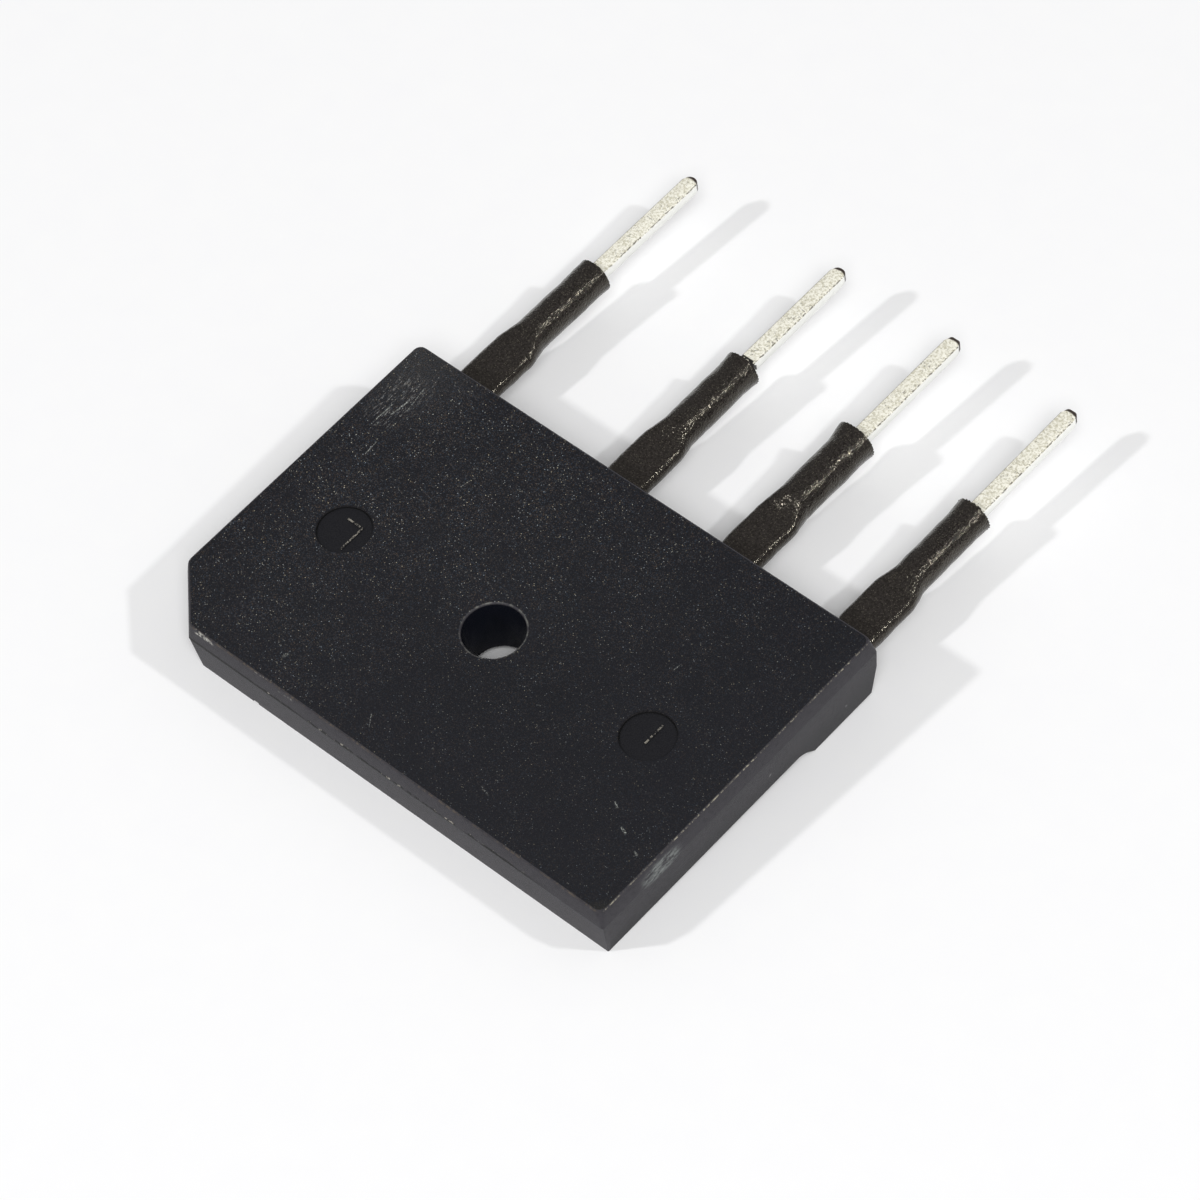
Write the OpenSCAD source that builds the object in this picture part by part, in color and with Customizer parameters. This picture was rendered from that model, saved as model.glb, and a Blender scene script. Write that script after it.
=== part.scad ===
// Single-phase bridge rectifier: a flat moulded package with four in-line leads, each in a
// heat-shrink sleeve. The origin is the centre of the screw hole on the heatsink face.
// +Z leaves the heatsink face, +Y runs towards the lead tips and +X away from the plus lead.

/* [Moulding] */
// Length of the moulding along the lead row
body_length = 30; // [29:0.1:37]
// Depth of the moulding, from the far side to the lead side
body_depth = 20; // [19.5:0.1:24.5]
// Thickness of the thin part of the moulding
body_thickness = 3.6; // [3.4:0.05:4.5]
// Distance from the screw hole to the lead side
hole_to_lead_side = 10.93; // [10.6:0.01:11.6]
// Leg of the corner chamfer that marks the plus lead
chamfer = 2.9; // [2.2:0.1:3.6]
// Extra thickness of the strip along the lead side
strip_height = 1; // [0.8:0.05:1.3]
// Width of the flat of that strip
strip_width = 4.5; // [3.8:0.1:5.4]
// Width of the slope that leads down to the strip
strip_slope = 1; // [0.5:0.1:1.4]
// Radius of the upright corners at the heatsink face
corner_radius = 0.4; // [0.2:0.05:0.6]
// Radius of the upright corners on the marked half
corner_radius_front = 0.12; // [0.1:0.01:0.2]
// Radius of the edge round the heatsink face
edge_radius = 0.12; // [0.08:0.01:0.2]

/* [Mould draft] */
// Draft of the walls between the heatsink face and the parting line
draft_back = 0.15; // [0.1:0.01:0.2]
// Draft of the marked half over its whole height, on the far side
draft_front = 0.4; // [0.2:0.01:0.5]
// The same draft, on the lead side
draft_leads = 0.28; // [0.15:0.01:0.35]
// Depth of the parting line below the heatsink face, on the far side
parting_depth = 0.95; // [0.7:0.05:1.2]
// Depth of the parting line below the heatsink face, on the lead side
parting_depth_leads = 2.35; // [2.1:0.05:2.5]
// Mismatch of the two mould halves at the parting line
parting_step = 0.05; // [0.02:0.01:0.08]

/* [Screw hole and pin marks] */
// Diameter of the screw hole
hole_d = 3.2; // [2.7:0.1:3.9]
// Radius of the worn rim of the hole
hole_rim = 0.12; // [0.05:0.01:0.2]
// Diameter of the two ejector pin marks
mark_d = 2.9; // [2.4:0.1:3.5]
// Depth of the pin marks
mark_depth = 0.12; // [0.08:0.01:0.2]
// Distance of each pin mark from the hole, along the lead row
mark_offset = 9.95; // [8.5:0.05:11.5]
// Height of the cavity number that stands in each pin mark
number_height = 0.06; // [0.04:0.01:0.07]
// Line width of the cavity numbers
number_line = 0.1; // [0.08:0.01:0.16]

/* [Leads] */
// Pitch from the plus lead to the first AC lead
pitch_plus = 10; // [8.3:0.1:10.2]
// Pitch of the other leads
pitch = 7.5; // [6.2:0.1:7.6]
// Thickness of the lead frames
frame_thickness = 0.6; // [0.5:0.05:0.75]
// Depth of the leads' upper face below the heatsink face
lead_depth = 2.7; // [2.3:0.05:2.9]
// Length of a lead outside the moulding
lead_length = 17.9; // [15:0.1:21.5]
// Width of a lead next to the moulding
lead_wide = 2.1; // [1.8:0.05:2.4]
// Length of that wide part
wide_length = 4.4; // [3.7:0.1:5.3]
// Width of a lead from there to its tip
lead_narrow = 0.9; // [0.8:0.05:1.1]
// Width across the blunt end of a tip
tip_width = 0.55; // [0.45:0.05:0.75]
// Length of the taper at a tip
tip_taper = 0.45; // [0.3:0.05:0.6]

/* [Islands inside] */
// Depth of the islands' upper face below the heatsink face
island_depth = 0.95; // [0.75:0.05:1.15]
// Moulding compound kept round the outside of the islands
island_cover = 1.25; // [1:0.05:1.5]
// Gap between neighbouring islands
island_gap = 0.9; // [0.7:0.05:1.2]
// Moulding compound kept round the screw hole
hole_cover = 1; // [0.8:0.05:1.3]
// Width of the island of the minus lead
minus_island_width = 4.4; // [3.7:0.1:5]
// Length of the bend from an island down to its lead
bend_length = 2.2; // [1.9:0.1:2.6]
// Straight length of lead inside the moulding, after the bend
lead_root = 1.9; // [1.6:0.1:2.3]

/* [Dice, solder and clips] */
// Side of a silicon die
die_side = 3.6; // [3:0.1:4.3]
// Thickness of a die
die_thickness = 0.3; // [0.25:0.01:0.36]
// Width of the etched mesa edge round a die
mesa = 0.35; // [0.2:0.05:0.5]
// Thickness of a solder layer
solder_thickness = 0.06; // [0.05:0.01:0.08]
// Distance of the dice from the hole, along the lead row
die_offset = 5.6; // [5:0.1:6]
// Width of a copper clip
clip_width = 2.2; // [1.8:0.1:2.6]
// Thickness of a copper clip
clip_thickness = 0.3; // [0.25:0.01:0.36]
// Length of a clip's foot on its island
clip_foot = 1.1; // [0.9:0.1:1.3]

/* [Sleeves] */
// Outer diameter of each sleeve where it is round, from the plus lead on
sleeve_d = [1.91, 1.96, 2.08, 1.89];
// Wall of a sleeve where it is stretched over the wide part of a lead
sleeve_wall = 0.21; // [0.15:0.01:0.25]
// Wall of a sleeve where it has shrunk freely
sleeve_wall_round = 0.33; // [0.28:0.01:0.38]
// Length of a sleeve
sleeve_length = 9.9; // [8.3:0.1:12]
// Gap from the moulding to a sleeve
sleeve_gap = 0.3; // [0.1:0.05:0.6]
// Length over which a sleeve narrows past the wide part of its lead
sleeve_shoulder = 1.1; // [0.8:0.1:1.4]
// How far the cut end of a sleeve flares
sleeve_flare = 0.05; // [0.02:0.01:0.08]

/* [Hidden] */

// Fineness of round things, and of the small rounds in a hull
$fn = 64;
coarse = 32;

// Margin by which a cutter passes through a face
cut = 1;

// Limits of the moulding
side_x = body_length / 2;
lead_y = hole_to_lead_side;
far_y = hole_to_lead_side - body_depth;
full_depth = body_thickness + strip_height;
strip_y = lead_y - strip_width;

// Lead positions along the row, centred on the moulding
row = pitch_plus + 2 * pitch;
lead_x = [
    -row / 2,
    -row / 2 + pitch_plus,
    -row / 2 + pitch_plus + pitch,
    row / 2
];
tip_y = lead_y + lead_length;
wide_end_y = lead_y + wide_length;
root_y = lead_y - lead_root;
bend_y = root_y - bend_length;

// Stack of layers on the front of the islands, as depths below the heatsink face
island_face = island_depth + frame_thickness;
die_face = island_face + solder_thickness;
pad_face = die_face + die_thickness;
clip_face = pad_face + solder_thickness;

// Plan of the islands
keepout = hole_d / 2 + hole_cover;
near_top = -keepout;
upper_low = near_top + island_gap;
minus_left = min(side_x - island_cover - minus_island_width, lead_x[3] - lead_wide / 2);
plus_right = lead_x[0] + lead_wide / 2 + island_cover;
die_low_y = (far_y + island_cover + near_top) / 2;
clip_margin = 0.2;
die_high_y = keepout + clip_width / 2 + clip_margin;
die_at = [
    [-die_offset, die_low_y],
    [die_offset, die_low_y],
    [-die_offset, die_high_y],
    [die_offset, die_high_y]
];
foot_margin = 0.25;
foot_y = upper_low + clip_foot / 2 + foot_margin;
foot_x = minus_left + clip_foot / 2 + foot_margin;
foot_at = [[-die_offset, foot_y], [die_offset, foot_y], [foot_x, die_high_y]];

// Strokes of the two cavity numbers, as offsets from the middle of their pin mark
left_number = [[[-0.34, 0.6], [0.5, 0.6]], [[0.65, 0.65], [0.65, -1]]];
right_number = [[[0.15, 0.9], [0.15, -0.4]]];

// Sleeves: their ends, the length that flares at the cut end, and the length and trim of the
// taper at the moulding
sleeve_z = -lead_depth - frame_thickness / 2;
sleeve_y = lead_y + sleeve_gap;
sleeve_end_y = sleeve_y + sleeve_length;
flare_length = 0.9;
root_taper = 1;
root_trim = 0.12;

// Points of an arc round (x, y), from one angle to another
arc_step = 22.5;
function arc(x, y, r, from, to) =
    [for (a = [from:(from < to ? arc_step : -arc_step):to]) [x + r * cos(a), y + r * sin(a)]];

// Outline of the moulding, drawn in by one inset all round and by another at the lead side
function outline(inset, lead_in, r) =
    let (
        low = far_y + inset,
        high = lead_y - lead_in,
        half = side_x - inset,
        leg = chamfer - inset * (2 - sqrt(2)),
        bend = r * tan(22.5)
    )
    concat(
        arc(half - r, low + r, r, -90, 0),
        arc(half - r, high - r, r, 0, 90),
        arc(-half + r, high - r, r, 90, 180),
        arc(-half + r, low + leg + bend, r, 180, 225),
        arc(-half + leg + bend, low + r, r, 225, 270)
    );

// Inset all round at the lead side's parting depth, and of the lead wall at the far one
all_mid = draft_front * (parting_depth_leads - parting_depth) / (full_depth - parting_depth);
lead_mid = draft_back / 2;

// Point halfway round the edge of the heatsink face
edge_mid = edge_radius * (1 - cos(45));

// Levels of the moulding: depth, inset all round, inset at the lead side, corner radius
levels = [
    [0, draft_back + edge_radius, draft_back + edge_radius, corner_radius],
    [edge_mid, draft_back + edge_mid, draft_back + edge_mid, corner_radius],
    [edge_radius, draft_back, draft_back, corner_radius],
    [parting_depth, 0, lead_mid, corner_radius_front],
    [parting_depth_leads, all_mid, 0, corner_radius_front],
    [full_depth - edge_radius, draft_front, draft_leads, corner_radius_front],
    [full_depth, draft_front + edge_radius, draft_leads + edge_radius, corner_radius_front]
];

module level(at) {
    skin = 0.001;
    translate([0, 0, min(-at[0], -skin)])
        linear_extrude(skin)
            polygon(outline(at[1], at[2], at[3]));
}

// Part of the marked half that is left out: all below the thin part, up to the strip's slope
module thin_side() {
    soft = 0.25;
    translate([-side_x - cut, 0, 0])
        rotate([90, 0, 90])
            linear_extrude(body_length + 2 * cut)
                polygon([
                    [far_y - cut, -body_thickness],
                    [strip_y - strip_slope - soft, -body_thickness],
                    [strip_y - strip_slope + soft, -body_thickness - soft],
                    [strip_y, -full_depth],
                    [strip_y, -full_depth - cut],
                    [far_y - cut, -full_depth - cut]
                ]);
}

// The marked half sits back a little from the parting line on the far side and the lead side
module mould_mismatch() {
    translate([-side_x - cut, 0, 0])
        rotate([90, 0, 90])
            linear_extrude(body_length + 2 * cut) {
                polygon([
                    [far_y - cut, -parting_depth],
                    [far_y + parting_step, -parting_depth],
                    [far_y + draft_front + parting_step, -full_depth],
                    [far_y - cut, -full_depth]
                ]);
                polygon([
                    [lead_y + cut, -parting_depth_leads],
                    [lead_y - parting_step, -parting_depth_leads],
                    [lead_y - draft_leads - parting_step, -full_depth - cut],
                    [lead_y + cut, -full_depth - cut]
                ]);
            }
}

module screw_hole() {
    rim_r = hole_d / 2 + hole_rim;
    rotate_extrude()
        polygon(concat(
            [[0, cut], [rim_r, cut]],
            arc(rim_r, -hole_rim, hole_rim, 90, 180),
            [[hole_d / 2, -full_depth - cut], [0, -full_depth - cut]]
        ));
}

// A straight line of a cavity number, between two points
module number_stroke(from, to) {
    run = to - from;
    translate([from[0], from[1], -mark_depth])
        rotate([0, 0, atan2(run[1], run[0])])
            translate([0, -number_line / 2, -cut])
                cube([norm(run), number_line, number_height + cut]);
}

module pin_mark(x, strokes) {
    translate([x, 0, 0])
        difference() {
            translate([0, 0, -mark_depth])
                cylinder(h = mark_depth + cut, d = mark_d);
            for (line = strokes)
                number_stroke(line[0], line[1]);
        }
}

// A small chip in the far side's lower edge, near the chamfered corner
module edge_chip() {
    size = 0.34;
    from_corner = 6.6;
    turn = 20;
    translate([from_corner - side_x, far_y + draft_front, -body_thickness])
        rotate([0, 0, turn])
            cube([size, size, size], center = true);
}

module moulding() {
    difference() {
        hull()
            for (at = levels)
                level(at);
        thin_side();
        mould_mismatch();
        edge_chip();
        screw_hole();
        pin_mark(-mark_offset, left_number);
        pin_mark(mark_offset, right_number);
    }
}

// The lead frames --------------------------------------------------------------------------

// A plate lying in the plane of the islands, from one corner to the other, clear of the
// moulding's outside and of the screw hole
module island(left, low, right, high) {
    translate([0, 0, -island_face])
        linear_extrude(frame_thickness)
            difference() {
                intersection() {
                    translate([left, low])
                        square([right - left, high - low]);
                    polygon(outline(island_cover, island_cover, corner_radius));
                }
                circle(keepout);
            }
}

// Side view of a lead: level with the islands, then down a bend, then straight to the tip
module lead_side_view(start_y) {
    drop = lead_depth - island_depth;
    back = frame_thickness * tan(atan2(drop, bend_length) / 2);
    polygon([
        [start_y, -island_depth],
        [bend_y, -island_depth],
        [root_y, -lead_depth],
        [tip_y, -lead_depth],
        [tip_y, -lead_depth - frame_thickness],
        [root_y - back, -lead_depth - frame_thickness],
        [bend_y - back, -island_face],
        [start_y, -island_face]
    ]);
}

// Plan of a lead: wide next to the moulding, then narrow, with a tapered tip
module lead_plan(start_y) {
    translate([-lead_wide / 2, start_y])
        square([lead_wide, wide_end_y - start_y]);
    polygon([
        [-lead_narrow / 2, start_y],
        [-lead_narrow / 2, tip_y - tip_taper],
        [-tip_width / 2, tip_y],
        [tip_width / 2, tip_y],
        [lead_narrow / 2, tip_y - tip_taper],
        [lead_narrow / 2, start_y]
    ]);
}

module lead(x) {
    start_y = bend_y - island_gap;
    translate([x, 0, 0])
        intersection() {
            translate([-lead_wide / 2 - cut, 0, 0])
                rotate([90, 0, 90])
                    linear_extrude(lead_wide + 2 * cut)
                        lead_side_view(start_y);
            translate([0, 0, -full_depth])
                linear_extrude(full_depth)
                    lead_plan(start_y);
        }
}

module plus_frame() {
    color("gainsboro")
        union() {
            island(-side_x, far_y, side_x, near_top);
            island(-side_x, far_y, plus_right, bend_y);
            lead(lead_x[0]);
        }
}

module ac_1_frame() {
    color("gainsboro")
        union() {
            island(plus_right + island_gap, upper_low, -island_gap / 2, bend_y);
            lead(lead_x[1]);
        }
}

module ac_2_frame() {
    color("gainsboro")
        union() {
            island(island_gap / 2, upper_low, minus_left - island_gap, bend_y);
            lead(lead_x[2]);
        }
}

module minus_frame() {
    color("gainsboro")
        union() {
            island(minus_left, upper_low, side_x, bend_y);
            lead(lead_x[3]);
        }
}

// Dice and solder --------------------------------------------------------------------------

// A square layer below a given depth, centred on a point
module layer(at, side, depth, thickness) {
    translate([at[0] - side / 2, at[1] - side / 2, -depth - thickness])
        cube([side, side, thickness]);
}

// Side view of a die: full width at its cathode, drawn in by the mesa edge at its anode
module die_side_view() {
    half = die_side / 2;
    rim_share = 0.4;
    rim = die_thickness * rim_share;
    polygon([
        [-half, 0],
        [half, 0],
        [half, -rim],
        [half - mesa, -die_thickness],
        [-half + mesa, -die_thickness],
        [-half, -rim]
    ]);
}

module die(at) {
    color("dimgray")
        translate([at[0], at[1], -die_face])
            intersection() {
                rotate([90, 0, 0])
                    linear_extrude(die_side + cut, center = true)
                        die_side_view();
                rotate([90, 0, 90])
                    linear_extrude(die_side + cut, center = true)
                        die_side_view();
            }
}

module die_solder(at) {
    color("silver")
        layer(at, die_side, island_face, solder_thickness);
}

module pad_solder(at) {
    color("silver")
        layer(at, clip_width, pad_face, solder_thickness);
}

module foot_solder(at, along_x) {
    size = along_x ? [clip_foot, clip_width] : [clip_width, clip_foot];
    color("silver")
        translate([at[0] - size[0] / 2, at[1] - size[1] / 2, -die_face])
            cube([size[0], size[1], solder_thickness]);
}

// Clips ------------------------------------------------------------------------------------

// A copper strip from start, above a die, to its foot on an island; lengths run along +Y
module clip_strip(start, foot) {
    step = clip_face - die_face;
    lean = 0.4;
    toe = foot + clip_foot / 2;
    heel = foot - clip_foot / 2;
    translate([-clip_width / 2, 0, 0])
        rotate([90, 0, 90])
            linear_extrude(clip_width)
                polygon([
                    [start, -clip_face],
                    [heel - lean, -clip_face],
                    [heel, -clip_face + step],
                    [toe, -clip_face + step],
                    [toe, -clip_face + step - clip_thickness],
                    [heel, -clip_face + step - clip_thickness],
                    [heel - lean, -clip_face - clip_thickness],
                    [start, -clip_face - clip_thickness]
                ]);
}

module ac_clip(die_point, foot_point) {
    color("peru")
        translate([die_point[0], 0, 0])
            clip_strip(die_point[1] - clip_width / 2, foot_point[1]);
}

// One strip joins both dice of the AC islands to the minus frame
module clip_minus() {
    color("peru")
        translate([0, die_high_y, 0])
            rotate([0, 0, -90])
                clip_strip(die_at[2][0] - clip_width / 2, foot_at[2][0]);
}

// Sleeves ----------------------------------------------------------------------------------

// Flat section of a sleeve, centred on its lead: a slot with round ends
module flat_section(trim) {
    height = frame_thickness + 2 * sleeve_wall - trim;
    width = lead_wide + 2 * sleeve_wall - trim;
    roundness = 0.45;
    round_r = height * roundness;
    for (x = [-1, 1], y = [-1, 1])
        translate([x * (width / 2 - round_r), y * (height / 2 - round_r)])
            circle(round_r, $fn = coarse);
    square([width - 2 * round_r, height], center = true);
    square([width, height - 2 * round_r], center = true);
}

module sleeve(index) {
    outer_r = sleeve_d[index] / 2;
    inner_r = outer_r - sleeve_wall_round;
    set_back = 0.33;
    flat_end = wide_end_y - set_back;
    round_start = flat_end + sleeve_shoulder;
    bore_start = round_start + sleeve_wall;
    slice = 0.01;
    blend = 0.02;
    color([0.12, 0.11, 0.1])
        difference() {
            translate([lead_x[index], 0, sleeve_z])
                rotate([-90, 0, 0]) {
                    hull() {
                        translate([0, 0, sleeve_y])
                            linear_extrude(slice)
                                flat_section(root_trim);
                        translate([0, 0, sleeve_y + root_taper])
                            linear_extrude(slice)
                                flat_section(blend);
                    }
                    translate([0, 0, sleeve_y + root_taper])
                        linear_extrude(flat_end - sleeve_y - root_taper)
                            flat_section(0);
                    hull() {
                        translate([0, 0, flat_end - slice])
                            linear_extrude(slice)
                                flat_section(blend);
                        translate([0, 0, round_start])
                            cylinder(h = slice, r = outer_r - blend / 2, $fn = coarse);
                    }
                    translate([0, 0, round_start])
                        cylinder(h = sleeve_end_y - flare_length - round_start, r = outer_r);
                    translate([0, 0, sleeve_end_y - flare_length])
                        cylinder(h = flare_length, r1 = outer_r, r2 = outer_r + sleeve_flare);
                }
            lead(lead_x[index]);
            translate([lead_x[index], wide_end_y, sleeve_z])
                rotate([-90, 0, 0])
                    cylinder(h = bore_start - wide_end_y, r1 = lead_narrow / 2, r2 = inner_r);
            translate([lead_x[index], bore_start, sleeve_z])
                rotate([-90, 0, 0])
                    cylinder(h = sleeve_length, r = inner_r);
        }
}

// Assembly ---------------------------------------------------------------------------------

module all_inside() {
    plus_frame();
    ac_1_frame();
    ac_2_frame();
    minus_frame();
    for (at = die_at) {
        die(at);
        die_solder(at);
        pad_solder(at);
    }
    ac_clip(die_at[0], foot_at[0]);
    ac_clip(die_at[1], foot_at[1]);
    clip_minus();
    foot_solder(foot_at[0], false);
    foot_solder(foot_at[1], false);
    foot_solder(foot_at[2], true);
}

module moulded_body() {
    color([0.16, 0.16, 0.17])
        difference() {
            moulding();
            all_inside();
        }
}

moulded_body();
plus_frame();
ac_1_frame();
ac_2_frame();
minus_frame();
die(die_at[0]);  // die_1
die(die_at[1]);  // die_2
die(die_at[2]);  // die_3
die(die_at[3]);  // die_4
die_solder(die_at[0]);  // die_solder_1
die_solder(die_at[1]);  // die_solder_2
die_solder(die_at[2]);  // die_solder_3
die_solder(die_at[3]);  // die_solder_4
pad_solder(die_at[0]);  // pad_solder_1
pad_solder(die_at[1]);  // pad_solder_2
pad_solder(die_at[2]);  // pad_solder_3
pad_solder(die_at[3]);  // pad_solder_4
ac_clip(die_at[0], foot_at[0]);  // clip_ac_1
ac_clip(die_at[1], foot_at[1]);  // clip_ac_2
clip_minus();
foot_solder(foot_at[0], false);  // foot_solder_ac_1
foot_solder(foot_at[1], false);  // foot_solder_ac_2
foot_solder(foot_at[2], true);  // foot_solder_minus
sleeve(0);  // plus_sleeve
sleeve(1);  // ac_1_sleeve
sleeve(2);  // ac_2_sleeve
sleeve(3);  // minus_sleeve
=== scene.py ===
import math

import bpy
from mathutils import Matrix, Vector


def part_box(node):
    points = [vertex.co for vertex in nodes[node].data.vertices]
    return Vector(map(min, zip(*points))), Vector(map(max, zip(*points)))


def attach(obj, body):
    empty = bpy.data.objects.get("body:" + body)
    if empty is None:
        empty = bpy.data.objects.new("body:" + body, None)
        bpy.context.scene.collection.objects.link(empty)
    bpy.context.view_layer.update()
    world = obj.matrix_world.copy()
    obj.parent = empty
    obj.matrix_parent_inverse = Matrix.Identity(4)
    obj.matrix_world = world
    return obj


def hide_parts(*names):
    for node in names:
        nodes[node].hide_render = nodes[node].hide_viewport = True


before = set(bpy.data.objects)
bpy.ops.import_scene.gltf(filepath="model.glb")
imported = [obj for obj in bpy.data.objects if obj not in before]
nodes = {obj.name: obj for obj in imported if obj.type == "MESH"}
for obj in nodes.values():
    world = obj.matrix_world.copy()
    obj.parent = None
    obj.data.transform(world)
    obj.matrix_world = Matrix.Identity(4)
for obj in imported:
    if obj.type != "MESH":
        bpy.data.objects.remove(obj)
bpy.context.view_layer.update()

MM = 0.001


# Moulded body --------------------------------------------------------------------------------
# A slab of filled epoxy, moulded round the lead frames. Its compound is dull and sparkles with
# fine filler, its walls are a little smoother, and its edges are worn.

class Shade:
    """A value in a material's nodes. Arithmetic on it adds Math nodes."""

    def __init__(self, tree, socket):
        self.tree = tree
        self.socket = socket

    def node(self, kind, settings, sockets, out=0):
        """Adds a node, sets it up first, then feeds its sockets with values or shades."""
        made = self.tree.nodes.new("ShaderNode" + kind)
        for name, value in settings.items():
            setattr(made, name, value)
        for name, value in sockets.items():
            if isinstance(value, Shade):
                self.tree.links.new(value.socket, made.inputs[name])
            else:
                made.inputs[name].default_value = value
        return Shade(self.tree, made.outputs[out])

    def math(self, operation, a, b=0.0):
        return self.node("Math", {"operation": operation}, {0: a, 1: b})

    def __add__(self, other):
        return self.math("ADD", self, other)

    def __sub__(self, other):
        return self.math("SUBTRACT", self, other)

    def __rsub__(self, other):
        return self.math("SUBTRACT", other, self)

    def __mul__(self, other):
        return self.math("MULTIPLY", self, other)

    def larger(self, other):
        return self.math("MAXIMUM", self, other)

    def ramp(self, low, high):
        """0 below low and 1 above high, with a soft run between."""
        sockets = {"Value": self, "From Min": low, "From Max": high}
        return self.node("MapRange", {"interpolation_type": "SMOOTHSTEP"}, sockets)

    def near(self, middle, reach):
        """1 at middle, falling to 0 at reach away from it."""
        away = self.math("ABSOLUTE", self - middle)
        return 1 - away.ramp(0.0, reach)

    def between(self, low, high, soft):
        """1 between low and high, with each end softened by soft to both sides."""
        return self.ramp(low - soft, low + soft) * (1 - self.ramp(high - soft, high + soft))

    def noise(self, grain, detail=2.0, roughness=0.5, stretch=(1, 1, 1)):
        """Soft noise on a position, with grains of about that size in metres."""
        place = self.node("Mapping", {}, {"Vector": self, "Scale": stretch})
        sockets = {"Vector": place, "Scale": 1 / grain, "Detail": detail, "Roughness": roughness}
        return self.node("TexNoise", {}, sockets)

    def cells(self, grain, out="Distance"):
        """Cells of about that size: the distance from each one's middle, or its random colour."""
        sockets = {"Vector": self, "Scale": 1 / grain}
        return self.node("TexVoronoi", {}, sockets, out)

    def axes(self):
        """The three parts of a position or of a colour."""
        split = self.node("SeparateXYZ", {}, {0: self})
        outputs = split.socket.node.outputs
        return [Shade(self.tree, outputs[i]) for i in range(3)]

    def mix(self, color, other):
        """This shade as a factor between one colour and another."""
        made = self.tree.nodes.new("ShaderNodeMix")
        made.data_type = "RGBA"
        self.tree.links.new(self.socket, made.inputs["Factor"])
        for socket, value in ((made.inputs[6], color), (made.inputs[7], other)):
            if isinstance(value, Shade):
                self.tree.links.new(value.socket, socket)
            else:
                socket.default_value = (*value, 1.0)
        return Shade(self.tree, made.outputs[2])


def finish_named(name, metallic=0.0, specular=0.5):
    """A new material with its principled shader, and the position on the piece as a shade."""
    made = bpy.data.materials.new(name)
    made.use_nodes = True
    tree = made.node_tree
    shader = tree.nodes["Principled BSDF"]
    shader.inputs["Metallic"].default_value = metallic
    shader.inputs["Specular IOR Level"].default_value = specular
    coordinates = tree.nodes.new("ShaderNodeTexCoord")
    return made, shader, Shade(tree, coordinates.outputs["Object"])


def feed(shader, name, shade):
    shade.tree.links.new(shade.socket, shader.inputs[name])


def bump(shader, height, depth):
    """Raises the surface by height, where 1 stands for depth in metres."""
    sockets = {"Height": height, "Strength": 1.0, "Distance": depth}
    feed(shader, "Normal", height.node("Bump", {}, sockets))


def finish_on(piece, material):
    piece.data.materials.clear()
    piece.data.materials.append(material)


def only(part):
    """Makes one piece the only selected one, and the active one."""
    bpy.ops.object.select_all(action="DESELECT")
    part.select_set(True)
    bpy.context.view_layer.objects.active = part


def copy_of(node, name):
    """A copy of a CAD node with a mesh of its own, its doubles merged and its normals freed."""
    part = nodes[node].copy()
    part.data = nodes[node].data.copy()
    part.name = name
    part.parent = None
    for key in list(part.keys()):
        del part[key]
    bpy.context.scene.collection.objects.link(part)
    only(part)
    bpy.ops.object.mode_set(mode="EDIT")
    bpy.ops.mesh.select_all(action="SELECT")
    bpy.ops.mesh.remove_doubles(threshold=0.0005 * MM)
    bpy.ops.object.mode_set(mode="OBJECT")
    bpy.ops.mesh.customdata_custom_splitnormals_clear()
    return part


def stand_in(part, material, node):
    """Finishes a piece that is shown in place of a CAD node."""
    finish_on(part, material)
    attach(part, "root")
    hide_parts(node)


def stroke(x, y, start, end, reach):
    """1 along a straight mark between two points in mm, falling to 0 at reach beside it."""
    run = Vector(end) - Vector(start)
    length = run.length * MM
    run.normalize()
    ahead_x = x - start[0] * MM
    ahead_y = y - start[1] * MM
    along = ahead_x * run.x + ahead_y * run.y
    across = ahead_y * run.x - ahead_x * run.y
    return along.between(0, length, reach) * across.near(0, reach)


body = copy_of("moulded_body", "housing")
bpy.ops.object.shade_smooth_by_angle(angle=math.radians(22))

compound, shader, at = finish_named("moulding compound", specular=0.22)
x, y, z = at.axes()
body_low, body_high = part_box("moulded_body")
near_y = body_low.y
left_x = body_low.x
right_x = body_high.x
parting = -0.95 * MM
hole_r = 1.6 * MM
mark_x = 9.95 * MM
mark_r = 1.45 * MM

# Ground of the heatsink face, with sharp flecks and fine dust of filler
fleck_grain = 0.074 * MM
dust_grain = 0.055 * MM
fleck_draw = at.cells(fleck_grain, "Color").axes()
dust_draw = at.cells(dust_grain, "Color").axes()
dense = (y - x).ramp(-14 * MM, 20 * MM)
cloud = at.noise(2.5 * MM, 3.0, 0.6).ramp(0.3, 0.75)
amount = (dense * 0.8 + 0.3) * (cloud * 0.7 + 0.6)
fleck = fleck_draw[0].ramp(0.88, 1.0) * (1 - at.cells(fleck_grain).ramp(0.08, 0.44)) * amount
dust = dust_draw[0].ramp(0.3, 1.0) * (1 - at.cells(dust_grain).ramp(0.2, 0.8)) * amount
fine = at.noise(0.05 * MM, 2.0, 0.7).ramp(0.3, 0.75)
ground = fine.mix((0.0048, 0.0052, 0.0084), (0.0133, 0.0136, 0.0166))
dust_tint = dust_draw[1].mix((0.08, 0.054, 0.034), (0.034, 0.054, 0.08))
fleck_tint = fleck_draw[1].mix((0.68, 0.60, 0.40), (0.44, 0.52, 0.60))
face = fleck.mix(dust.mix(ground, dust_tint), fleck_tint)

# Grey bloom by the left end of the lead side, and an olive one at the near right corner
bloom = (1 - x.ramp(left_x + 0.4 * MM, left_x + 6 * MM)) * y.ramp(5 * MM, 10 * MM) * fine
face = (bloom * 0.45).mix(face, (0.10, 0.10, 0.10))
bloom = (x - y).ramp(22.2 * MM, 23.8 * MM) * fine
face = (bloom * 0.5).mix(face, (0.05, 0.045, 0.022))

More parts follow.
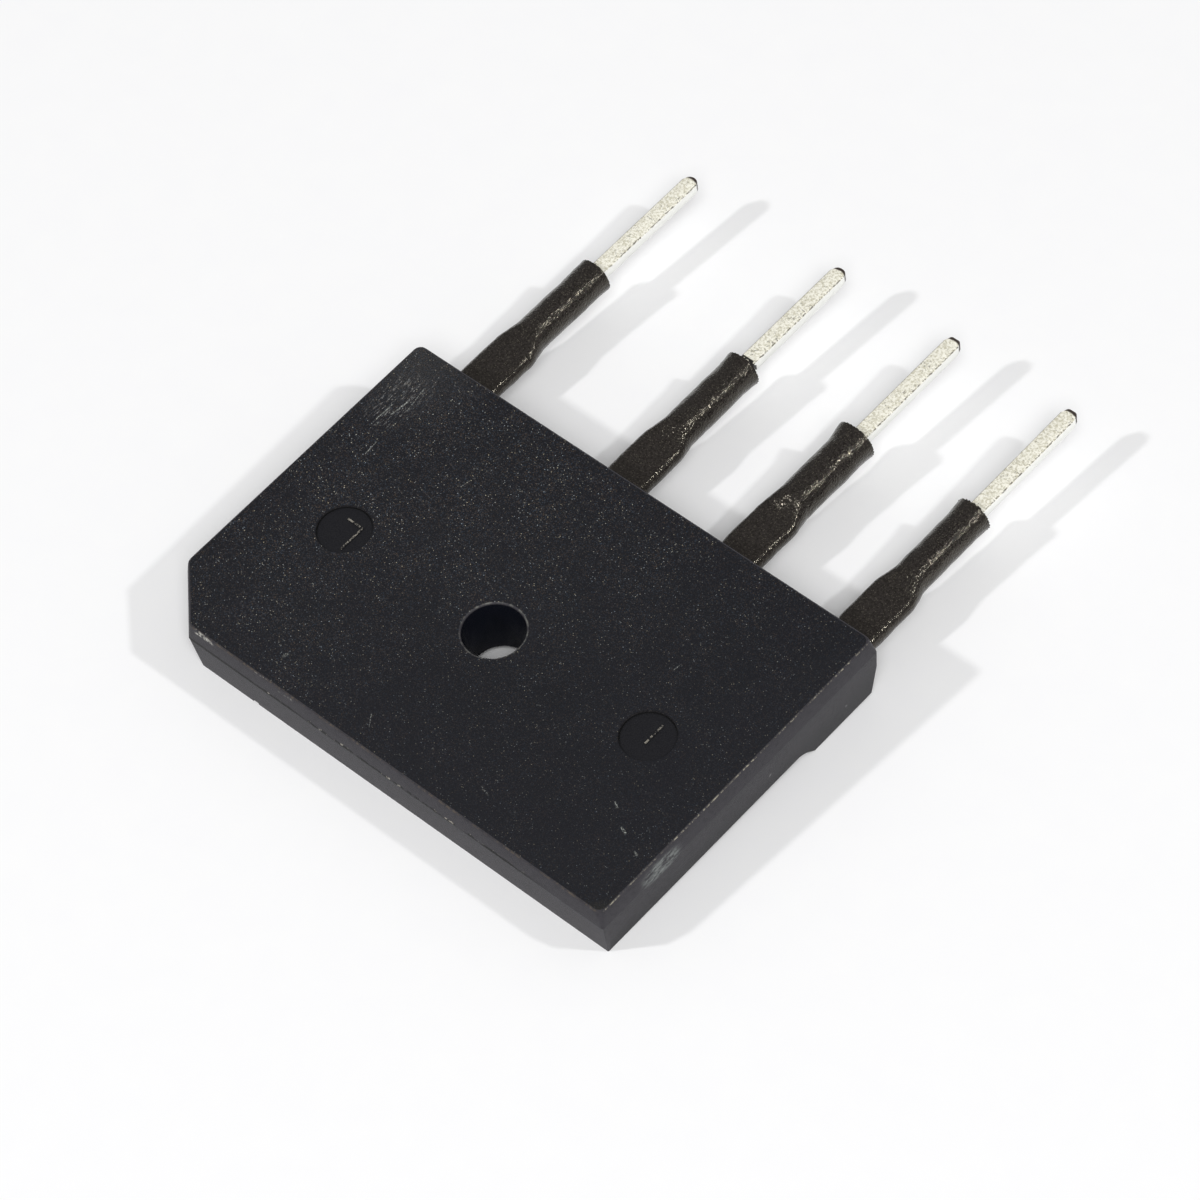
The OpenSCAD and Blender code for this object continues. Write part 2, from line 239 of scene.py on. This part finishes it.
# Scuffs, scratches and nicks on the heatsink face
chalky = at.noise(0.09 * MM, 3.0, 0.8).ramp(0.45, 0.6)
along_y = (1, 0.16, 1)
streaks = at.noise(0.11 * MM, 2.0, 0.7, along_y).ramp(0.5, 0.66) * chalky
scuffed = x.between(-14.2 * MM, -12.3 * MM, 0.6 * MM) * y.between(5.8 * MM, 9.0 * MM, 0.8 * MM)
face = (streaks * scuffed * 0.9).mix(face, (0.3, 0.3, 0.29))

# Start, end and reach in mm, and strength
scratches = [
    ((-7.12, 5.37), (-6.95, 6.21), 0.04, 0.4), ((-12.28, 4.0), (-12.36, 4.9), 0.05, 0.8),
    ((-12.94, 6.6), (-12.78, 7.7), 0.06, 0.9), ((-13.33, 5.9), (-13.3, 7.1), 0.05, 0.8),
    ((-12.44, 7.3), (-12.7, 8.8), 0.05, 0.6), ((11.21, -3.79), (11.5, -3.95), 0.08, 0.8),
    ((12.4, -4.67), (12.8, -4.82), 0.08, 1.0), ((13.79, -5.3), (14.0, -5.4), 0.08, 0.8),
    ((5.63, -7.04), (6.2, -7.2), 0.07, 0.3), ((8.45, 3.6), (8.48, 3.95), 0.05, 0.5),
    ((-7.1, -7.4), (-7.0, -7.15), 0.12, 0.5), ((-1.4, -7.2), (-0.95, -7.85), 0.04, 0.4),
]
for start, end, reach, strength in scratches:
    line = stroke(x, y, start, end, reach * MM)
    face = (line * chalky * strength).mix(face, (0.5, 0.52, 0.48))

# Walls, smoother than the face: darker low down as painted shade, but paler there on the near one
# as painted light from the floor
wall_zone = 0.45 * MM
near_wall = 1 - y.ramp(near_y + wall_zone, near_y + wall_zone + 0.05 * MM)
right_wall = x.ramp(right_x - wall_zone - 0.05 * MM, right_x - wall_zone)
wall = at.noise(1.2 * MM, 3.0).mix((0.026, 0.0245, 0.029), (0.033, 0.031, 0.037))
wall = (fine * 0.3).mix(wall, (0.06, 0.055, 0.066))
wall = at.noise(0.3 * MM, 3.0, 0.7).ramp(0.4, 0.75).mix(wall, (0.02, 0.0185, 0.0225))
# Painted light: the band above the parting is made paler, evening out its shading against the wall
# below
high = z.ramp(parting - 0.1 * MM, parting + 0.1 * MM)
wall = (high * 0.22).mix(wall, (0.052, 0.05, 0.056))
low = 1 - z.ramp(-3.6 * MM, -1.4 * MM)
# Painted light low on the near wall, painted shade low on the others
wall = (low * near_wall * 0.3).mix(wall, (0.07, 0.067, 0.075))
wall = (low * (1 - near_wall) * 0.5).mix(wall, (0.01, 0.01, 0.011))

# The seam that the two mould halves left in the near wall, a dark band painted as the shadow under
# the step between them, with bits of flash on it
rough = x.between(-7.5 * MM, 10.3 * MM, 0.8 * MM)
seam_z = z - (at.noise(0.7 * MM, 3.0) - 0.5) * rough * (0.3 * MM)
kept = at.noise(0.35 * MM, 2.0).ramp(0.36, 0.5).larger(1 - rough)
kept = kept * (1 - x.ramp(9 * MM, 12 * MM)) * x.ramp(-12.2 * MM, -12.0 * MM)
# Painted shadow: a near-black band along the seam
seam_shadow = seam_z.between(parting - 0.28 * MM, parting + 0.12 * MM, 0.02 * MM) * near_wall * kept
flash = seam_z.between(parting + 0.03 * MM, parting + 0.14 * MM, 0.03 * MM) * near_wall * rough
flash = flash * at.noise(0.25 * MM, 2.0, 0.7).ramp(0.6, 0.66)
wall = (seam_shadow * 0.95).mix(wall, (0.002, 0.002, 0.002))
wall = flash.mix(wall, (0.30, 0.28, 0.24))

# The right wall's faint line, its rubbed patch and its two nicks
faint_line = z.near(-1.05 * MM, 0.04 * MM) * y.between(-3.3 * MM, 7.2 * MM, 0.3 * MM)
wall = (faint_line * right_wall * 0.35).mix(wall, (0.008, 0.008, 0.009))
rubbed = (z.near(-0.75 * MM, 0.75 * MM) * y.near(-4.85 * MM, 1.9 * MM)).ramp(0.05, 0.5)
rubbed = rubbed * at.noise(0.14 * MM, 3.0, 0.7, (1, 0.3, 1)).ramp(0.36, 0.66)
wall = (rubbed * right_wall * 0.7).mix(wall, (0.24, 0.26, 0.25))
nicks = stroke(y, z, (2.9, -2.45), (3.0, -2.35), 0.09 * MM)
nicks = nicks + stroke(y, z, (8.55, -3.2), (8.65, -3.2), 0.08 * MM)
wall = (nicks * right_wall * 0.6).mix(wall, (0.5, 0.5, 0.5))

# Pin marks, smooth and dark, with pale lines along their numbers as painted highlights, and a
# painted shade along one side of their rim
beside = x.math("ABSOLUTE", x) - mark_x
from_mark = x.math("POWER", beside * beside + y * y, 0.5)
in_mark = 1 - from_mark.ramp(mark_r * 0.98, mark_r * 1.01)
# Painted highlight: the tops of the numbers' raised strokes are made pale
stroke_highlight = z.between(-0.075 * MM, -0.045 * MM, 0.003 * MM)
stroke_highlight = stroke_highlight * at.noise(0.14 * MM, 2.0, 0.7).ramp(0.42, 0.7)
# Painted shade: one side of each mark's rim is darkened, as its recess wall in shadow
shaded_side = (beside * x.math("SIGN", x) * -0.8 + y * 0.6).ramp(-0.7 * MM, 0.6 * MM)
rim_shade = from_mark.ramp(mark_r - 0.14 * MM, mark_r - 0.04 * MM) * shaded_side
mark_color = fine.mix((0.0065, 0.0065, 0.0088), (0.0125, 0.0125, 0.0148))
mark_color = rim_shade.mix(mark_color, (0.001, 0.001, 0.001))
mark_color = stroke_highlight.mix(mark_color, (0.28, 0.26, 0.22))

# Face, walls and marks put together, with the screw hole dark inside as painted shade and pale at
# its rim
hole_rim_depth = 0.12 * MM
from_hole = x.math("POWER", x * x + y * y, 0.5)
hole_shade = 1 - from_hole.ramp(hole_r + 0.02 * MM, hole_r + 0.04 * MM)
hole_shade = hole_shade * (1 - z.ramp(-hole_rim_depth, -hole_rim_depth + 0.04 * MM))
hole_rim = from_hole.near(hole_r + 0.07 * MM, 0.07 * MM)
hole_rim = hole_rim * at.noise(0.3 * MM, 2.0, 0.7).ramp(0.4, 0.7)
hole_rim = hole_rim * z.ramp(-hole_rim_depth, -hole_rim_depth + 0.02 * MM)
on_face = z.ramp(-0.006 * MM, -0.002 * MM)
color = on_face.mix(wall, face)
color = in_mark.mix(color, mark_color)
# Painted shade: the inside of the screw hole is near black
color = hole_shade.mix(color, (0.003, 0.004, 0.0085))
color = (hole_rim * 0.7).mix(color, (0.20, 0.20, 0.18))

# Worn edges of the heatsink face, and a chip near the chamfered corner
grain = at.noise(0.16 * MM, 3.0, 0.8).ramp(0.44, 0.62)
spell = at.noise(1.4 * MM, 2.0).ramp(0.3, 0.6)
edge_band = z.between(-0.05 * MM, -0.01 * MM, 0.01 * MM)
right_edge = x.ramp(right_x - 0.25 * MM, right_x - 0.2 * MM) * edge_band
near_edge = (1 - y.ramp(near_y + 0.16 * MM, near_y + 0.3 * MM)) * z.ramp(-0.1 * MM, -0.02 * MM)
lead_edge = y.ramp(10.69 * MM, 10.73 * MM) * edge_band
color = (right_edge * grain * (spell * 0.8 + 0.1)).mix(color, (0.42, 0.39, 0.30))
color = (near_edge * grain * spell * 0.7).mix(color, (0.13, 0.10, 0.065))
color = (lead_edge * 0.3).mix(color, (0.10, 0.10, 0.11))
edge_marks = [
    ((-11.6, -8.92), (-10.4, -9.0), 0.12, 1.0), ((-7.6, -8.9), (-6.8, -8.86), 0.03, 0.5),
    ((-6.1, -8.97), (-5.1, -8.95), 0.04, 0.6),
]
for start, end, reach, strength in edge_marks:
    line = stroke(x, y, start, end, reach * MM) * z.ramp(-0.3 * MM, -0.2 * MM)
    color = (line * grain * strength).mix(color, (0.75, 0.73, 0.66))
feed(shader, "Base Color", color)
feed(shader, "Roughness", on_face * 0.3 + 0.5)
bump(shader, fine, 0.008 * MM)
stand_in(body, compound, "moulded_body")


# Lead frames -----------------------------------------------------------------------------------
# Each is stamped from copper sheet with its island and its lead, and then tinned. The tin is pale
# and mottled, and the cut ends of the leads are left dark.

frames = ["plus_frame", "ac_1_frame", "ac_2_frame", "minus_frame"]
lead_face = -2.7 * MM
lead_half = 0.45 * MM
lead_thickness = 0.6 * MM
edge_bevel = 0.05 * MM
tip_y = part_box("plus_frame")[1].y
tip_reach = 0.01 * MM
lead_x = []
for name in frames:
    tip = [v.co.x for v in nodes[name].data.vertices if v.co.y > tip_y - tip_reach]
    lead_x.append((min(tip) + max(tip)) / 2)


def select_where(part, kind, test):
    """In edit mode, selects only the vertices or edges that pass a test."""
    bpy.ops.mesh.select_mode(type=kind)
    bpy.ops.mesh.select_all(action="DESELECT")
    bpy.ops.object.mode_set(mode="OBJECT")
    items = {"VERT": part.data.vertices, "EDGE": part.data.edges}
    for item in items[kind]:
        item.select = test(item)
    bpy.ops.object.mode_set(mode="EDIT")


def apply(part, kind, **settings):
    """Adds a modifier to a piece, sets it up and applies it."""
    only(part)
    modifier = part.modifiers.new(kind.lower(), kind)
    for name, value in settings.items():
        setattr(modifier, name, value)
    bpy.ops.object.modifier_apply(modifier=modifier.name)


def tin_plate(name, middle, mouth, scraps):
    """Tin for the lead with that middle line, with scraps of sleeve left on it past its mouth."""
    made, shader, at = finish_named(name)
    x, y, z = at.axes()
    across = x - middle
    on_top = z.ramp(lead_face - 0.03 * MM, lead_face - 0.01 * MM)
    patches = at.noise(0.13 * MM, 3.0, 0.75).ramp(0.35, 0.6)
    pits = at.noise(0.14 * MM, 3.0, 0.75).ramp(0.58, 0.64) * at.noise(0.9 * MM).ramp(0.42, 0.6)
    top = patches.mix((0.6, 0.57, 0.44), (0.96, 0.94, 0.83))
    top = (pits * 0.8).mix(top, (0.13, 0.12, 0.10))
    # Painted light: the sides are a plain near-white, paler than the mottled top, as if lit more
    # strongly
    color = on_top.mix((0.97, 0.97, 0.93), top)

    # Dark lines along both upper edges, broken up on the right one
    near_top = z.ramp(lead_face - 0.06 * MM, lead_face - 0.04 * MM)
    ragged = across + (at.noise(0.25 * MM, 2.0) - 0.5) * (0.1 * MM)
    right_line = ragged.near(lead_half - 0.05 * MM, 0.05 * MM)
    right_line = right_line * at.noise(0.3 * MM, 3.0, 0.75).ramp(0.46, 0.54)
    left_line = across.near(-lead_half + 0.02 * MM, 0.04 * MM) * 0.8
    color = (right_line.larger(left_line) * near_top).mix(color, (0.07, 0.06, 0.05))

    # Scraps by the sleeve's mouth, and the cut end
    scrap = at.noise(0.34 * MM, 1.0).ramp(0.46, 0.48)
    scrap = scrap * y.between(mouth + 0.12 * MM, mouth + 0.44 * MM, 0.02 * MM)
    color = (scrap * scraps).mix(color, (0.012, 0.010, 0.009))
    bow = 0.14 * MM / lead_half / lead_half
    cut_end = y + across * across * bow + at.noise(0.2 * MM) * (0.12 * MM)
    cut_end = cut_end.ramp(tip_y - 0.16 * MM, tip_y - 0.08 * MM)
    color = cut_end.mix(color, (0.04, 0.028, 0.022))
    feed(shader, "Base Color", color)
    feed(shader, "Roughness", patches * 0.2 + 0.4)
    bump(shader, at.noise(0.12 * MM, 3.0, 0.6), 0.01 * MM)
    return made


tip_round = [0.25 * MM, 0.22 * MM, 0.10 * MM, 0.14 * MM]
mouth_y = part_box("plus_sleeve")[1].y
scraps_on = [0, 1, 0, 0]
for name, middle, rounding, scraps in zip(frames, lead_x, tip_round, scraps_on):
    part = copy_of(name, name.replace("frame", "lead_frame"))
    bpy.ops.object.mode_set(mode="EDIT")
    bpy.ops.mesh.dissolve_limited(angle_limit=math.radians(0.5))

    def upright_at_tip(edge):
        a, b = (part.data.vertices[i].co for i in edge.vertices)
        return min(a.y, b.y) > tip_y - tip_reach and abs(a.z - b.z) > lead_thickness / 2

    select_where(part, "EDGE", upright_at_tip)
    bpy.ops.mesh.bevel(offset=rounding, segments=5, affect="EDGES")
    bpy.ops.object.mode_set(mode="OBJECT")
    apply(part, "BEVEL", width=edge_bevel, segments=2, limit_method="ANGLE",
          angle_limit=math.radians(40))
    bpy.ops.object.shade_smooth_by_angle(angle=math.radians(50))
    stand_in(part, tin_plate("tin on " + name, middle, mouth_y, scraps), name)


# Dice, solder and clips ------------------------------------------------------------------------
# The four dice, the solder above and below them and the copper clips are inside the moulding.

silicon, shader, at = finish_named("lapped silicon", metallic=0.3)
lapping = at.noise(0.1 * MM, 2.0)
feed(shader, "Base Color", lapping.mix((0.10, 0.105, 0.12), (0.16, 0.17, 0.19)))
feed(shader, "Roughness", lapping * 0.2 + 0.25)

solder, shader, at = finish_named("dull solder", metallic=1.0)
grain = at.noise(0.2 * MM, 2.0)
feed(shader, "Base Color", grain.mix((0.48, 0.48, 0.49), (0.66, 0.66, 0.67)))
feed(shader, "Roughness", grain * 0.3 + 0.3)

copper, shader, at = finish_named("bare copper", metallic=1.0)
grain = at.noise(0.3 * MM, 2.0)
feed(shader, "Base Color", grain.mix((0.72, 0.36, 0.22), (0.86, 0.47, 0.31)))
feed(shader, "Roughness", grain * 0.2 + 0.25)

for name, piece in nodes.items():
    if name.startswith(("die_solder", "pad_solder", "foot_solder")):
        finish_on(piece, solder)
    elif name.startswith("die"):
        finish_on(piece, silicon)
    elif name.startswith("clip"):
        finish_on(piece, copper)


# Sleeves ---------------------------------------------------------------------------------------
# Heat-shrink tube, cut to length, pushed over each lead and shrunk: drawn flat over the lead's
# wide part and nearly round beyond it. Its skin is dark and shiny over a fine grain.

sleeves = ["plus_sleeve", "ac_1_sleeve", "ac_2_sleeve", "minus_sleeve"]
lead_middle = lead_face - lead_thickness / 2
tube_wall = 0.3 * MM
tube_sides = 96
tube_rings = 140
wide_radius = 2 * MM
bore_depth = 5 * MM
mouth_reach = 0.01 * MM
mouth_zone = 0.3 * MM


def shrunk_tube(node, middle):
    """A tube round a lead, shrunk on to the CAD sleeve and smoothed, with both its ends open."""
    low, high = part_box(node)
    length = high.y - low.y - 0.02 * MM
    bpy.ops.object.select_all(action="DESELECT")
    bpy.ops.mesh.primitive_cylinder_add(
        vertices=tube_sides, radius=wide_radius, depth=length, end_fill_type="NOTHING",
        location=(middle, (low.y + high.y) / 2, lead_middle), rotation=(math.radians(90), 0, 0))
    part = bpy.context.object
    bpy.ops.object.transform_apply(location=True, rotation=True, scale=True)
    bpy.ops.object.mode_set(mode="EDIT")

    def along(edge):
        a, b = (part.data.vertices[i].co for i in edge.vertices)
        return abs(a.y - b.y) > length / 2

    select_where(part, "EDGE", along)
    bpy.ops.mesh.subdivide(number_cuts=tube_rings)
    bpy.ops.object.mode_set(mode="OBJECT")
    apply(part, "SHRINKWRAP", target=nodes[node], wrap_method="PROJECT",
          use_negative_direction=True, use_positive_direction=False)
    apply(part, "SMOOTH", factor=0.5, iterations=14)
    return part


def grain_of(name, size):
    """A cloud texture of that grain, to raise the skin of a tube."""
    made = bpy.data.textures.new(name, "CLOUDS")
    made.noise_scale = size
    made.noise_depth = 2
    return made


dents = grain_of("dents in a sleeve", 1.1 * MM)
pebbles = grain_of("pebbled skin", 0.16 * MM)


def spread_mouth(part, middle, push, rag):
    """Pushes the left side of the mouth outwards, and makes its cut rim ragged."""
    mouth = max(v.co.y for v in part.data.vertices)
    only(part)
    bpy.ops.object.mode_set(mode="EDIT")

    def on_left_rim(vertex):
        return vertex.co.y > mouth - mouth_reach and vertex.co.x < middle - 0.5 * MM

    select_where(part, "VERT", on_left_rim)
    bpy.ops.transform.translate(
        value=(push[0], 0, push[1]), use_proportional_edit=True, use_proportional_connected=True,
        proportional_edit_falloff="SMOOTH", proportional_size=1.2 * MM)
    select_where(part, "VERT", lambda v: v.co.y > mouth - mouth_reach)
    bpy.ops.transform.vertex_random(offset=rag, uniform=1.0, seed=4)
    bpy.ops.object.mode_set(mode="OBJECT")


def close_tube(part, middle):
    """Closes the tube, with a wall and a blind bore at its mouth and a flat end at the moulding."""
    near_end = min(v.co.y for v in part.data.vertices)
    mouth = max(v.co.y for v in part.data.vertices)
    by_mouth = [v.co.x for v in part.data.vertices if v.co.y > mouth - mouth_zone]
    radius = max(by_mouth) - middle
    inner = 1 - tube_wall / radius
    only(part)
    bpy.ops.object.mode_set(mode="EDIT")
    bpy.ops.mesh.select_mode(type="VERT")
    bpy.ops.mesh.select_all(action="DESELECT")
    bpy.ops.mesh.select_non_manifold()
    bpy.ops.object.mode_set(mode="OBJECT")
    halfway = (near_end + mouth) / 2
    rim = {v.index for v in part.data.vertices if v.select and v.co.y > halfway}
    bpy.ops.object.mode_set(mode="EDIT")
    select_where(part, "VERT", lambda v: v.index in rim)
    bpy.ops.mesh.extrude_region_move()
    bpy.ops.transform.resize(
        value=(inner, 1, inner), center_override=(middle, mouth, lead_middle))
    bpy.ops.mesh.extrude_region_move(TRANSFORM_OT_translate={"value": (0, -bore_depth, 0)})
    bpy.ops.mesh.edge_face_add()
    bpy.ops.mesh.select_all(action="DESELECT")
    bpy.ops.mesh.select_non_manifold()
    bpy.ops.mesh.edge_face_add()
    bpy.ops.mesh.select_all(action="SELECT")
    bpy.ops.mesh.normals_make_consistent(inside=False)
    bpy.ops.object.mode_set(mode="OBJECT")


shrink, shader, at = finish_named("shrunk sleeve")
shader.inputs["Specular Tint"].default_value = (1.0, 0.92, 0.74, 1.0)
speck_grain = 0.075 * MM
# Pale golden specks in the skin: partly its grain, partly painted glints
grain_and_glint_specks = at.cells(speck_grain, "Color").axes()[0].ramp(0.62, 0.8)
grain_and_glint_specks = grain_and_glint_specks * (1 - at.cells(speck_grain).ramp(0.2, 0.5))
mottle = at.noise(0.12 * MM, 3.0, 0.8).ramp(0.3, 0.7)
color = mottle.mix((0.006, 0.005, 0.005), (0.028, 0.024, 0.023))
color = (grain_and_glint_specks * 0.05).mix(color, (0.95, 0.88, 0.66))
feed(shader, "Base Color", color)
feed(shader, "Roughness", at.noise(0.5 * MM) * 0.08 + 0.08)
bump(shader, at.noise(0.11 * MM, 1.0, 0.5), 0.03 * MM)

# How far each mouth is pushed out at its left, along X and Z, and how ragged its cut is
mouth_push = [(0, 0), (-0.03 * MM, 0.02 * MM), (-0.11 * MM, 0.07 * MM), (-0.03 * MM, 0.02 * MM)]
mouth_rag = [0.02 * MM, 0.03 * MM, 0.03 * MM, 0.05 * MM]
for name, middle, push, rag in zip(sleeves, lead_x, mouth_push, mouth_rag):
    part = shrunk_tube(name, middle)
    part.name = name.replace("_sleeve", "_shrunk_sleeve")
    spread_mouth(part, middle, push, rag)
    for relief, height in ((dents, 0.08 * MM), (pebbles, 0.015 * MM)):
        apply(part, "DISPLACE", texture=relief, texture_coords="GLOBAL", strength=height,
              mid_level=0.5)
    close_tube(part, middle)
    bpy.ops.object.shade_smooth_by_angle(angle=math.radians(50))
    stand_in(part, shrink, name)


# Floor, lamps and camera -----------------------------------------------------------------------
# The part rests on the strip's inner edge and on the far side's lower edge, with its leads a
# little raised, so the floor runs through those two edges. Two small lamps cast the crisp shadows,
# and a large one beside the camera does most of the rest.

strip_edge = Vector((0, 6.43 * MM, -4.6 * MM))
far_edge = Vector((0, -8.67 * MM, -3.6 * MM))
slope = math.atan2(strip_edge.z - far_edge.z, strip_edge.y - far_edge.y)
floor_size = 3.0
bpy.ops.object.select_all(action="DESELECT")
bpy.ops.mesh.primitive_plane_add(size=floor_size, location=strip_edge, rotation=(slope, 0, 0))
floor = bpy.context.object
floor.name = "floor"
paper, shader, at = finish_named("white paper")
fibre = at.noise(2 * MM, 2.0)
feed(shader, "Base Color", fibre.mix((0.93, 0.93, 0.94), (0.95, 0.95, 0.95)))
shader.inputs["Roughness"].default_value = 0.9
finish_on(floor, paper)


lamp_distance = 1.5


def softbox(name, direction, size, power):
    """A square lamp that shines on the origin from a direction."""
    data = bpy.data.lights.new(name, "AREA")
    data.size = size
    data.energy = power
    lamp = bpy.data.objects.new(name, data)
    bpy.context.scene.collection.objects.link(lamp)
    lamp.location = Vector(direction).normalized() * lamp_distance
    lamp.rotation_euler = lamp.location.to_track_quat("Z", "Y").to_euler()


softbox("right lamp", (0.66, 0.31, 0.69), size=0.08, power=4.7)
softbox("left lamp", (-0.385, -0.6, 0.7), size=0.08, power=6.3)
softbox("front lamp", (0.445, -0.38, 0.81), size=0.6, power=13.6)

world = bpy.data.worlds.new("studio")
bpy.context.scene.world = world
world.use_nodes = True
sky = world.node_tree.nodes["Background"]
sky.inputs["Color"].default_value = (1.0, 1.0, 1.0, 1.0)
sky.inputs["Strength"].default_value = 0.25

camera_data = bpy.data.cameras.new("camera")
camera_data.sensor_width = 36
camera_data.lens = 161.3
camera_data.clip_start = 0.01
camera = bpy.data.objects.new("camera", camera_data)
bpy.context.scene.collection.objects.link(camera)
aim = Vector((2.9 * MM, 4.5 * MM, 0))
camera.location = Vector((118.57, -94.41, 210.42)) * MM
camera_roll = math.radians(-9.68)
turn = (aim - camera.location).to_track_quat("-Z", "Y").to_matrix()
camera.rotation_euler = (turn @ Matrix.Rotation(camera_roll, 3, "Z")).to_euler()
bpy.context.scene.camera = camera
bpy.context.scene.view_settings.view_transform = "Standard"
